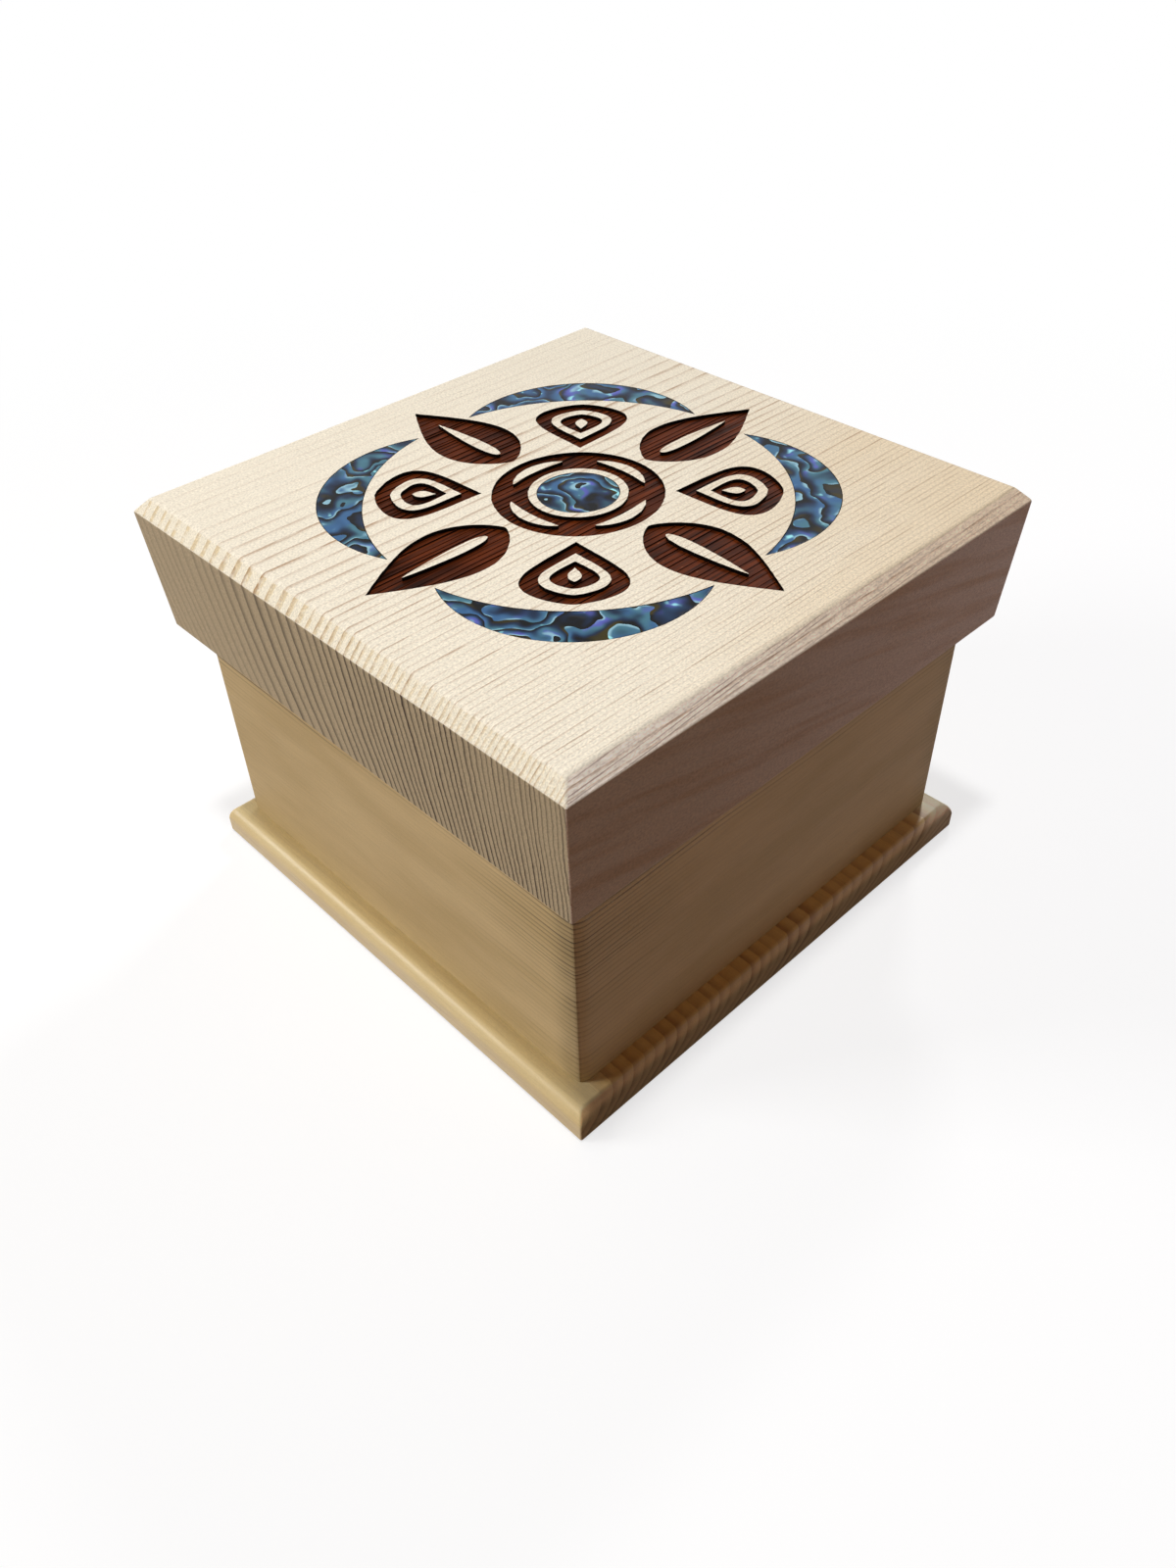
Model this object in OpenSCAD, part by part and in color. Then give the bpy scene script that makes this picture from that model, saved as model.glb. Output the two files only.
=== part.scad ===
// Bentwood box: one cedar plank bent round three kerfed corners and pegged at the fourth,
// a bevelled base board under it, and a thick lift-off lid inlaid with slips of shell.
// Millimetres. The origin is the middle of the base's underside and +Z is up.

/* [Walls] */
// Width of the bent box, outside
box_w = 126; // [100:1:160]
// Height of the walls above the base's flange
wall_h = 59; // [45:1:90]
// Thickness of the plank
plank_t = 9.5; // [8:0.5:13]
// Outer radius of a bent corner
bend_r = 2.5; // [2:0.5:6]
// Wood left at the root of a kerf, which takes the bend
kerf_web = 3.5; // [2.5:0.5:5]
// Width of the slit that the closed kerf leaves
kerf_slit = 0.4; // [0.2:0.1:0.8]
// Diameter of the relief at the kerf's root
kerf_root_d = 1.6; // [1:0.2:2.4]

/* [Lapped corner] */
// Thickness of the tongue that laps over the plank's other end
lap_t = 4.8; // [3:0.2:6]
// Hairline between the two ends of the plank
lap_gap = 0.2; // [0.1:0.1:0.4]
// Outer radius of the lapped corner
lap_r = 2; // [1:0.5:2.5]

/* [Base] */
// How far the base stands out past the walls
base_overhang = 6; // [3:0.5:15]
// Thickness of the base's flange
base_t = 8; // [6:0.5:14]
// How far the bevel round the base comes in
base_bevel_in = 2; // [1:0.5:2.5]
// How far the bevel round the base drops
base_bevel_drop = 2; // [1:0.5:4]
// Height of the raised panel that fits inside the walls
panel_h = 5; // [3:0.5:10]
// Room between the panel and the walls
panel_clearance = 0.4; // [0.2:0.1:1]

/* [Lid] */
// How far the lid stands out past the walls at the rim
lid_overhang = 5; // [3:0.5:15]
// How far each side of the lid leans out above the rim
lid_draft = 2; // [0.5:0.5:4]
// Thickness of the lid above the rim
lid_t = 33.5; // [20:0.5:50]
// How far the chamfer round the lid comes in
lid_chamfer_in = 3.2; // [1:0.1:5]
// How far the chamfer round the lid drops
lid_chamfer_drop = 3.2; // [1:0.1:8]
// How deep the plug under the lid reaches into the box
plug_depth = 7; // [4:0.5:15]
// Room between the plug and the walls
plug_clearance = 0.6; // [0.3:0.1:1.5]
// Easing round the edge of the plug and of the raised panel
lead_in = 1; // [0.5:0.5:2]

/* [Shell inlay] */
// Thickness of a slip of shell
shell_t = 1.2; // [0.8:0.1:2]
// Room round a slip of shell in its pocket
shell_gap = 0.15; // [0.1:0.05:0.3]
// Radius of the round slip at the middle
disc_r = 9; // [5:0.5:15]
// Radius of a crescent's hollow edge
ring_r = 47; // [42:0.5:50]
// Radius of a crescent's full edge
bulge_r = 29; // [26:0.5:32]
// How far a crescent reaches from the lid's middle
crescent_reach = 57; // [50:0.5:62]
// Width of a crescent at its middle
crescent_w = 10; // [6:0.5:12]

/* [Pegs] */
// Diameter of a peg
peg_d = 3; // [2:0.2:4]
// Room round a peg in its hole
peg_clearance = 0.05; // [0.03:0.01:0.1]
// Pegs down the lapped corner
corner_pegs_n = 4; // [2:1:5]
// Length of a corner peg
corner_peg_len = 18; // [14:1:24]
// Height of the lowest and highest corner pegs from the walls' edges
corner_peg_margin = 9; // [6:1:14]
// Pegs under each wall
base_pegs_n = 3; // [2:1:4]
// Distance between two pegs under a wall
base_peg_pitch = 36; // [16:1:40]
// How far a base peg is driven into the walls
base_peg_bite = 14; // [8:1:24]
// How far a base peg's end lies above the base's underside
peg_recess = 0.3; // [0.1:0.1:0.6]

/* [Hidden] */
$fn = 96;
eps = 0.5;
half_box = box_w / 2;
half_inside = half_box - plank_t;
plank_mid = half_box - plank_t / 2;
rim_z = base_t + wall_h;
hole_d = peg_d + 2 * peg_clearance;
// Middles of a crescent's full and hollow edges, out along its diagonal
bulge_centre = crescent_reach - bulge_r;
hollow_centre = crescent_reach - crescent_w - ring_r;
// Depth of the wood across a bent corner, along its diagonal, and the kerf cut into it
corner_depth = (plank_t - bend_r) * sqrt(2) + bend_r;
kerf_depth = corner_depth - kerf_web;
// Angles of the corners, and of the slips of shell, about the box's middle
angle_right = 45;
angle_back = angle_right + 90;
angle_left = angle_right + 180;
angle_front = angle_right - 90;
cedar_pale = [0.88, 0.81, 0.68];
cedar_tan = [0.72, 0.59, 0.41];
cedar_base = [0.80, 0.69, 0.49];
peg_brown = [0.50, 0.35, 0.21];
shell_blue = [0.20, 0.40, 0.52];

// A square slab whose four sides share one profile, mitred where they meet.
// The profile is a list of [half width, height] from the bottom up.
module mitred_slab(profile) {
    reach = max([for (p = profile) p[0]]) + eps;
    intersection() {
        rotate([90, 0, 0]) linear_extrude(2 * reach, center = true) slab_face(profile);
        rotate([90, 0, 90]) linear_extrude(2 * reach, center = true) slab_face(profile);
    }
}

module slab_face(profile) {
    last = len(profile) - 1;
    polygon(concat(profile, [for (i = [last : -1 : 0]) [-profile[i][0], profile[i][1]]]));
}

// What a rounded corner takes off a square one at +X +Y
module corner_waste(r) {
    difference() {
        translate([half_box - r, half_box - r]) square(r + eps);
        translate([half_box - r, half_box - r]) circle(r);
    }
}

// A closed kerf, drawn for the corner at +X +Y
module kerf() {
    translate([half_inside, half_inside]) rotate(45) {
        translate([-eps, -kerf_slit / 2]) square([kerf_depth + eps - kerf_root_d / 2, kerf_slit]);
        translate([kerf_depth - kerf_root_d / 2, 0]) circle(d = kerf_root_d);
    }
}

// The hairline where the plank's two ends lap, at -X +Y
module lap_line() {
    translate([-half_box - eps, half_box - lap_t - lap_gap]) square([plank_t + eps, lap_gap]);
    translate([-half_inside - lap_gap, half_inside - eps]) square([lap_gap, plank_t - lap_t + eps]);
}

module plank_outline() {
    difference() {
        square(box_w, center = true);
        for (a = [angle_front, angle_right, angle_left]) rotate(a - angle_right) corner_waste(bend_r);
        rotate(angle_back - angle_right) corner_waste(lap_r);
        square(2 * half_inside, center = true);
        for (a = [angle_front, angle_right, angle_left]) rotate(a - angle_right) kerf();
        lap_line();
    }
}

// Places its children at each peg down the lapped corner, with +Z running into the wood
module at_corner_pegs() {
    step = (wall_h - 2 * corner_peg_margin) / (corner_pegs_n - 1);
    for (i = [0 : corner_pegs_n - 1])
        translate([-plank_mid, half_box, base_t + corner_peg_margin + i * step])
            rotate([90, 0, 0]) children();
}

// Places its children at each peg under the walls, at the base's underside
module at_base_pegs() {
    for (side = [0 : 90 : 270])
        for (i = [0 : base_pegs_n - 1])
            rotate(side) translate([plank_mid, (i - (base_pegs_n - 1) / 2) * base_peg_pitch, 0]) children();
}

module crescent(gap) {
    difference() {
        translate([bulge_centre, 0]) circle(bulge_r + gap);
        translate([hollow_centre, 0]) circle(ring_r - gap);
    }
}

module shell_slip() {
    translate([0, 0, rim_z + lid_t - shell_t]) linear_extrude(shell_t) children();
}

module shell_crescent(angle) {
    color(shell_blue) shell_slip() rotate(angle) crescent(0);
}

module base_board() {
    half_base = half_box + base_overhang;
    half_panel = half_inside - panel_clearance;
    color(cedar_base) difference() {
        union() {
            mitred_slab([
                [half_base, 0],
                [half_base, base_t - base_bevel_drop],
                [half_base - base_bevel_in, base_t]
            ]);
            translate([0, 0, base_t]) mitred_slab([
                [half_panel, -eps],
                [half_panel, panel_h - lead_in],
                [half_panel - lead_in, panel_h]
            ]);
        }
        at_base_pegs() translate([0, 0, -eps]) cylinder(h = base_t + 2 * eps, d = hole_d);
    }
}

module base_pegs() {
    color(peg_brown) at_base_pegs()
        translate([0, 0, peg_recess]) cylinder(h = base_t + base_peg_bite - peg_recess, d = peg_d);
}

module side_plank() {
    color(cedar_tan) difference() {
        translate([0, 0, base_t]) linear_extrude(wall_h) plank_outline();
        at_base_pegs() cylinder(h = base_t + base_peg_bite + peg_clearance, d = hole_d);
        at_corner_pegs() translate([0, 0, -eps])
            cylinder(h = corner_peg_len + peg_clearance + eps, d = hole_d);
    }
}

module corner_pegs() {
    color(peg_brown) at_corner_pegs() cylinder(h = corner_peg_len, d = peg_d);
}

module lid() {
    half_rim = half_box + lid_overhang;
    half_lid = half_rim + lid_draft;
    half_plug = half_inside - plug_clearance;
    color(cedar_pale) difference() {
        translate([0, 0, rim_z]) union() {
            mitred_slab([
                [half_rim, 0],
                [half_lid, lid_t - lid_chamfer_drop],
                [half_lid - lid_chamfer_in, lid_t]
            ]);
            mitred_slab([
                [half_plug - lead_in, -plug_depth],
                [half_plug, lead_in - plug_depth],
                [half_plug, eps]
            ]);
        }
        translate([0, 0, rim_z + lid_t - shell_t]) linear_extrude(shell_t + eps) {
            circle(disc_r + shell_gap);
            for (a = [angle_front, angle_right, angle_back, angle_left]) rotate(a) crescent(shell_gap);
        }
    }
}

module shell_disc() {
    color(shell_blue) shell_slip() circle(disc_r);
}

base_board();
base_pegs();
side_plank();
corner_pegs();
lid();
shell_disc();
shell_crescent(angle_front);  // shell_crescent_front
shell_crescent(angle_right);  // shell_crescent_right
shell_crescent(angle_back);  // shell_crescent_back
shell_crescent(angle_left);  // shell_crescent_left
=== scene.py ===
"""Looks of a square bentwood box: a bent cedar plank on a bevelled base, under a carved and inlaid lid.

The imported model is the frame. Each class models one sub-assembly over it, in metres, and dresses it
with procedural finishes that read the piece's own coordinates in millimetres.
"""

import logging
import math
import random
from contextlib import contextmanager
from dataclasses import dataclass
from enum import Enum
from typing import Callable, Iterator, Sequence

import bmesh
import bpy
from mathutils import Matrix, Vector, noise


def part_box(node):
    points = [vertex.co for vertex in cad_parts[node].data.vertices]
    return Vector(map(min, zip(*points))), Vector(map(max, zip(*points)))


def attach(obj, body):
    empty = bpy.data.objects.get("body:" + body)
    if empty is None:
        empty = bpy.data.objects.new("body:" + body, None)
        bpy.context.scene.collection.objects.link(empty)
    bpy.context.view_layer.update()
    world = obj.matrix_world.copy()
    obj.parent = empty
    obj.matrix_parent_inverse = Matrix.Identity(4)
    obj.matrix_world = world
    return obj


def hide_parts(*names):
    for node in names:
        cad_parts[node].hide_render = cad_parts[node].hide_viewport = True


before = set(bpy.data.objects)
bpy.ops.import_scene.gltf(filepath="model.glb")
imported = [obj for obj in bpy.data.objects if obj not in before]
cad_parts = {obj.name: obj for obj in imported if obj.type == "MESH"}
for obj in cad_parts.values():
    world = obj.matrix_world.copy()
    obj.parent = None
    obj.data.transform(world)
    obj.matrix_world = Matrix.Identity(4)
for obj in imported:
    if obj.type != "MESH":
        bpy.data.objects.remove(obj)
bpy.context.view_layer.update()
LOG = logging.getLogger("bentwood_box")

MM = 0.001
NEAR = 0.01 * MM

Piece = bpy.types.Object
Socket = bpy.types.NodeSocket
Colour = tuple[float, float, float, float]
Point = tuple[float, float]
Outline = list[Point]
Axis = tuple[Vector, Vector]
Test = Callable[[Vector, Vector], bool]

WHITE: Colour = (1.0, 1.0, 1.0, 1.0)
BLACK: Colour = (0.0, 0.0, 0.0, 1.0)


class Kind(Enum):
    """What an operator picks from a mesh."""

    FACE = "FACE"
    EDGE = "EDGE"


class Grain(Enum):
    """Which way the fibres of a board run, as a vector along them."""

    ALONG_X = (1.0, 0.0, 0.0)
    ALONG_Y = (0.0, 1.0, 0.0)

    def pitch(self, across: float, along: float) -> tuple[float, ...]:
        """A pitch that is long with the grain and short across it."""
        return tuple(along if part else across for part in self.value)


def srgb(red: int, green: int, blue: int) -> Colour:
    """Turn a colour in 0 to 255 steps, as a screen shows it, into linear light."""
    steps = (value / 255 for value in (red, green, blue))
    return (*(c / 12.92 if c <= 0.04045 else ((c + 0.055) / 1.055) ** 2.4 for c in steps), 1.0)


# Work at the bench: picking, shaping and cutting meshes


def take(piece: Piece) -> None:
    """Select one object alone and make it the active one.

    Args:
        piece: The object to take.
    """
    bpy.ops.object.select_all(action="DESELECT")
    piece.select_set(True)
    bpy.context.view_layer.objects.active = piece


@contextmanager
def editing(piece: Piece, kind: Kind) -> Iterator[None]:
    """Hold a piece in edit mode, with nothing selected, for the length of a with block.

    Args:
        piece: The object to edit.
        kind: Whether faces or edges are to be picked.

    Returns:
        The context of the with block.
    """
    take(piece)
    bpy.ops.object.mode_set(mode="EDIT")
    bpy.ops.mesh.select_mode(type=kind.value)
    bpy.ops.mesh.select_all(action="DESELECT")
    yield
    bpy.ops.object.mode_set(mode="OBJECT")


def pick(piece: Piece, kind: Kind, test: Test) -> None:
    """Select the faces or edges of a piece in edit mode that pass a test.

    Args:
        piece: The object in edit mode.
        kind: Whether faces or edges are picked.
        test: Takes an element's middle and its normal, or an edge's direction.
    """
    bpy.ops.mesh.select_all(action="DESELECT")
    mesh = bmesh.from_edit_mesh(piece.data)
    if kind is Kind.FACE:
        for face in mesh.faces:
            if test(face.calc_center_median(), face.normal):
                face.select_set(True)
    else:
        for edge in mesh.edges:
            start, end = (vertex.co for vertex in edge.verts)
            if test((start + end) / 2, (end - start).normalized()):
                edge.select_set(True)
    mesh.select_flush_mode()
    bmesh.update_edit_mesh(piece.data)


def pick_top(piece: Piece) -> None:
    """Select the faces of a piece in edit mode that look up."""
    pick(piece, Kind.FACE, lambda middle, normal: normal.z > 0.9)


def raise_picked(height: float) -> None:
    """Draw the picked faces up out of a piece; a height below 0 draws them down."""
    bpy.ops.mesh.extrude_region_move(TRANSFORM_OT_translate={"value": (0, 0, height)})


def widen_picked(before: float, after: float) -> None:
    """Take the picked faces from one width to another, about their middle."""
    bpy.ops.transform.resize(value=(after / before, after / before, 1))


def level(height: float, beyond: float = 0.0) -> Test:
    """Test for edges at a height, no nearer to the middle than a distance."""
    return lambda middle, along: abs(middle.z - height) < NEAR and middle.xy.length >= beyond


def upright(low: float, high: float) -> Test:
    """Test for edges that stand between two heights, plumb or leaning."""
    return lambda middle, along: abs(along.z) > 0.5 and low < middle.z < high


def name_active(name: str) -> Piece:
    """Name the object that an operator has just added, and set its place into its mesh.

    Args:
        name: The new object's name.

    Returns:
        The object.
    """
    piece = bpy.context.object
    piece.name = name
    piece.data.name = name
    bpy.ops.object.transform_apply(location=True, rotation=True, scale=True)
    return piece


def add_block(name: str, low: Sequence[float], high: Sequence[float]) -> Piece:
    """Add a block between two corners.

    Args:
        name: The block's name.
        low: Its lowest corner, in metres.
        high: Its highest corner, in metres.

    Returns:
        The new object.
    """
    low, high = Vector(low), Vector(high)
    bpy.ops.object.select_all(action="DESELECT")
    bpy.ops.mesh.primitive_cube_add(size=1, location=(low + high) / 2, scale=high - low)
    return name_active(name)


def add_rod(name: str, radius: float, start: Sequence[float], end: Sequence[float], sides: int) -> Piece:
    """Add a round rod between two points.

    Args:
        name: The rod's name.
        radius: Its radius, in metres.
        start: The middle of its first end.
        end: The middle of its other end.
        sides: How many flats stand for its roundness.

    Returns:
        The new object.
    """
    start, end = Vector(start), Vector(end)
    turn = (end - start).to_track_quat("Z", "Y").to_euler()
    bpy.ops.object.select_all(action="DESELECT")
    bpy.ops.mesh.primitive_cylinder_add(
        vertices=sides, radius=radius, depth=(end - start).length, location=(start + end) / 2, rotation=turn
    )
    return name_active(name)


def add_prism(name: str, outline: Outline, low: float, high: float) -> Piece:
    """Fill a closed outline in the XY plane and raise it into a prism.

    Args:
        name: The prism's name.
        outline: Points round its edge, in metres.
        low: Height of its underside.
        high: Height of its top.

    Returns:
        The new object.
    """
    bpy.ops.object.select_all(action="DESELECT")
    bpy.ops.mesh.primitive_circle_add(vertices=len(outline), fill_type="NGON")
    prism = name_active(name)
    for vertex, (x, y) in zip(prism.data.vertices, outline):
        vertex.co = (x, y, low)
    with editing(prism, Kind.FACE):
        bpy.ops.mesh.select_all(action="SELECT")
        raise_picked(high - low)
        bpy.ops.mesh.select_all(action="SELECT")
        bpy.ops.mesh.normals_make_consistent(inside=False)
    return prism


def join(name: str, pieces: Sequence[Piece]) -> Piece:
    """Join objects into the first of them, under a new name.

    Args:
        name: The joined object's name.
        pieces: The objects.

    Returns:
        The joined object.
    """
    take(pieces[0])
    for piece in pieces[1:]:
        piece.select_set(True)
    if len(pieces) > 1:
        bpy.ops.object.join()
    pieces[0].name = name
    return pieces[0]


def apply_modifier(piece: Piece, kind: str, **settings: object) -> None:
    """Add a modifier of a kind with its settings, and apply it at once.

    Args:
        piece: The object to change.
        kind: The modifier's type.
        **settings: Its own properties.
    """
    modifier = piece.modifiers.new(kind.lower(), kind)
    for key, value in settings.items():
        setattr(modifier, key, value)
    take(piece)
    bpy.ops.object.modifier_apply(modifier=modifier.name)


def cut(piece: Piece, cutter: Piece) -> None:
    """Take a cutter's shape out of a piece, and give the cut faces the cutter's finish."""
    settings = {"operation": "DIFFERENCE", "solver": "EXACT", "material_mode": "TRANSFER"}
    apply_modifier(piece, "BOOLEAN", object=cutter, **settings)
    bpy.data.objects.remove(cutter)


def ease_edges(piece: Piece, widths: Sequence[tuple[float, Test]], segments: int) -> None:
    """Round chosen edges of a piece, each set by its own width.

    Args:
        piece: The object to ease.
        widths: Pairs of a width in metres and the test that picks its edges.
        segments: Facets across each eased edge.
    """
    widest = max(width for width, _ in widths)
    with editing(piece, Kind.EDGE):
        for width, test in widths:
            pick(piece, Kind.EDGE, test)
            bpy.ops.transform.edge_bevelweight(value=width / widest)
    apply_modifier(piece, "BEVEL", limit_method="WEIGHT", width=widest, segments=segments)


def smooth(piece: Piece, degrees: float = 32) -> None:
    """Shade a piece smooth over its eased edges, with its flats kept flat.

    Args:
        piece: The object to shade.
        degrees: The sharpest turn that is still shaded smooth.
    """
    take(piece)
    bpy.ops.object.shade_smooth_by_angle(angle=math.radians(degrees))
    apply_modifier(piece, "WEIGHTED_NORMAL", keep_sharp=True, weight=100)


def dress(piece: Piece, finish: bpy.types.Material) -> None:
    """Give every face of a piece one finish.

    Args:
        piece: The object to dress.
        finish: Its finish.
    """
    piece.data.materials.clear()
    piece.data.materials.append(finish)
    piece.data.polygons.foreach_set("material_index", [0] * len(piece.data.polygons))


def set_in_frame(piece: Piece, node: str, body: str) -> None:
    """Stand a piece in for its CAD node, and carry it on its body.

    Args:
        piece: The finished piece.
        node: The CAD node that it replaces.
        body: The body that carries it.
    """
    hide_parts(node)
    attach(piece, body)
    LOG.info("%s: %d faces, for %s on %s", piece.name, len(piece.data.polygons), node, body)


# Finishes


def worked(operation: str) -> Callable[..., "Number"]:
    """Make a method of a number that works one sum on it and another."""
    return lambda self, other=0.0: self.graph.math(operation, self, other)


@dataclass(frozen=True)
class Number:
    """A number that varies over a surface; each sum worked on it adds a node to its graph."""

    graph: "Graph"
    socket: Socket

    def math(self, operation: str, other: "Amount" = 0.0) -> "Number":
        """Work one sum on this number and another."""
        return self.graph.math(operation, self, other)

    def __rsub__(self, other: float) -> "Number":
        """Take this number away from another."""
        return self.graph.math("SUBTRACT", other, self)

    __add__ = worked("ADD")
    __sub__ = worked("SUBTRACT")
    __mul__ = worked("MULTIPLY")
    __truediv__ = worked("DIVIDE")
    __pow__ = worked("POWER")
    __abs__ = worked("ABSOLUTE")
    larger = worked("MAXIMUM")
    smaller = worked("MINIMUM")

    def step(self, low: float, high: float) -> "Number":
        """Rise smoothly from 0 at low to 1 at high; low may be the larger."""
        inputs = {"Value": self, "From Min": low, "From Max": high}
        return self.graph.number("MapRange", inputs, interpolation_type="SMOOTHSTEP")

    def span(self, low: float, high: float) -> "Number":
        """Stretch a number of 0 to 1 to run from low to high."""
        return self.graph.number("MapRange", {"Value": self, "To Min": low, "To Max": high})


Amount = Number | float


class Graph:
    """The nodes of one material or world, written as short calls.

    A value given to a call is a number, a colour, a vector, or what another call gave. A call that reads
    the surface's place, in millimetres, reads the graph's own unless it is given another.
    """

    def __init__(self, owner: bpy.types.Material | bpy.types.World, shader: str = "Principled BSDF") -> None:
        """Start with the shader alone.

        Args:
            owner: The material or world.
            shader: The name of its shader node.
        """
        owner.use_nodes = True
        self.owner = owner
        self.place: Socket | None = None
        self.tree = owner.node_tree
        self.shader = self.tree.nodes[shader]

    def put(self, socket: Socket, value: object) -> None:
        """Link a socket to another, or set its own value.

        Args:
            socket: The socket to feed.
            value: What feeds it.
        """
        given = value.socket if isinstance(value, Number) else value
        if isinstance(given, Socket):
            self.tree.links.new(given, socket)
        else:
            socket.default_value = given

    def feed(self, **inputs: object) -> None:
        """Feed inputs of the shader, each named with an underscore for a space.

        Args:
            **inputs: A value for each input.
        """
        for name, value in inputs.items():
            self.put(self.shader.inputs[name.replace("_", " ")], value)

    def node(self, kind: str, inputs: dict[str, object], **settings: object) -> bpy.types.Node:
        """Add a node.

        Args:
            kind: The node's type, without its ShaderNode prefix.
            inputs: Values by the identifiers of its sockets.
            **settings: Its own properties.

        Returns:
            The new node.
        """
        made = self.tree.nodes.new("ShaderNode" + kind)
        for key, value in settings.items():
            setattr(made, key, value)
        by_name = {socket.identifier: socket for socket in made.inputs}
        for key, value in inputs.items():
            self.put(by_name[key], value)
        return made

    def number(self, kind: str, inputs: dict, output: int | str = 0, **settings: object) -> Number:
        """Add a node that gives a number."""
        return Number(self, self.node(kind, inputs, **settings).outputs[output])

    def math(self, operation: str, first: Amount, second: Amount = 0.0) -> Number:
        """Work one sum on two numbers."""
        return self.number("Math", {"Value": first, "Value_001": second}, operation=operation)

    def vector(self, operation: str, first: object, second: object = (0, 0, 0)) -> Socket:
        """Work one sum on two vectors."""
        inputs = {"Vector": first, "Vector_001": second}
        return self.node("VectorMath", inputs, operation=operation).outputs["Vector"]

    def length(self, place: Socket) -> Number:
        """The length of a vector."""
        return self.number("VectorMath", {"Vector": place}, "Value", operation="LENGTH")

    def along(self, way: Sequence[float], place: Socket | None = None) -> Number:
        """How far a place lies along a way, times the length of the way."""
        inputs = {"Vector": place or self.place, "Vector_001": tuple(way)}
        return self.number("VectorMath", inputs, "Value", operation="DOT_PRODUCT")

    def part(self, axis: str, place: Socket | None = None) -> Number:
        """One part of a place, along X, Y or Z."""
        return self.number("SeparateXYZ", {"Vector": place or self.place}, axis)

    def point(self, **parts: Amount) -> Socket:
        """A place put together from its X, Y and Z."""
        return self.node("CombineXYZ", parts).outputs[0]

    def blend(self, factor: Amount, first: Amount, second: Amount) -> Number:
        """Mix two numbers."""
        return self.number("Mix", {"Factor_Float": factor, "A_Float": first, "B_Float": second})

    def mix(self, factor: Amount, first: object, second: object, way: str = "MIX") -> Socket:
        """Mix two colours.

        Args:
            factor: The second colour's share.
            first: The first colour.
            second: The second colour.
            way: How they are mixed.

        Returns:
            The mixed colour.
        """
        inputs = {"Factor_Float": factor, "A_Color": first, "B_Color": second}
        made = self.node("Mix", inputs, data_type="RGBA", blend_type=way)
        return next(socket for socket in made.outputs if socket.identifier == "Result_Color")

    def dye(self, colour: object, tint: object) -> Socket:
        """Multiply a colour by a tint."""
        return self.mix(1.0, colour, tint, "MULTIPLY")

    def tint(self, share: Amount, colour: object, tint: object) -> Socket:
        """Multiply a share of a colour by a tint."""
        return self.mix(share, colour, self.dye(colour, tint))

    def shade(self, colour: object, factor: Amount) -> Socket:
        """Darken or lighten a colour by a factor."""
        return self.dye(colour, self.point(X=factor, Y=factor, Z=factor))

    def noise(self, pitch: Sequence[float], detail: float = 2.0, place: Socket | None = None) -> Number:
        """Soft noise from 0 to 1, with its own pitch in millimetres along each axis."""
        scaled = self.vector("DIVIDE", place or self.place, tuple(pitch))
        return self.number("TexNoise", {"Vector": scaled, "Scale": 1.0, "Detail": detail})

    def cloud(self, pitch: float, detail: float = 1.0, place: Socket | None = None) -> Number:
        """Soft noise from 0 to 1, with one pitch in millimetres every way."""
        return self.noise((pitch, pitch, pitch), detail, place)

    def object_place(self) -> Socket:
        """The surface's place on its piece, in millimetres."""
        return self.vector("DIVIDE", self.node("TexCoord", {}).outputs["Object"], (MM, MM, MM))

    def named_place(self, attribute: str) -> Socket:
        """A place in millimetres that the mesh itself carries."""
        return self.node("Attribute", {}, attribute_name=attribute).outputs["Vector"]

    def facing(self, axis: Sequence[float]) -> Number:
        """How squarely the surface faces along an axis, either way, from 0 to 1."""
        return abs(self.along(axis, self.node("TexCoord", {}).outputs["Normal"]))

    def bump(self, height: Number, depth: float) -> None:
        """Raise the surface by a height of 0 to 1 over a depth in metres."""
        made = self.node("Bump", {"Height": height, "Strength": 1.0, "Distance": depth})
        self.feed(Normal=made.outputs[0])


def new_finish(name: str) -> Graph:
    """Start a material under a name, read in its piece's own coordinates.

    Args:
        name: The material's name.

    Returns:
        The material's graph.
    """
    graph = Graph(bpy.data.materials.new(name))
    graph.place = graph.object_place()
    return graph


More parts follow.
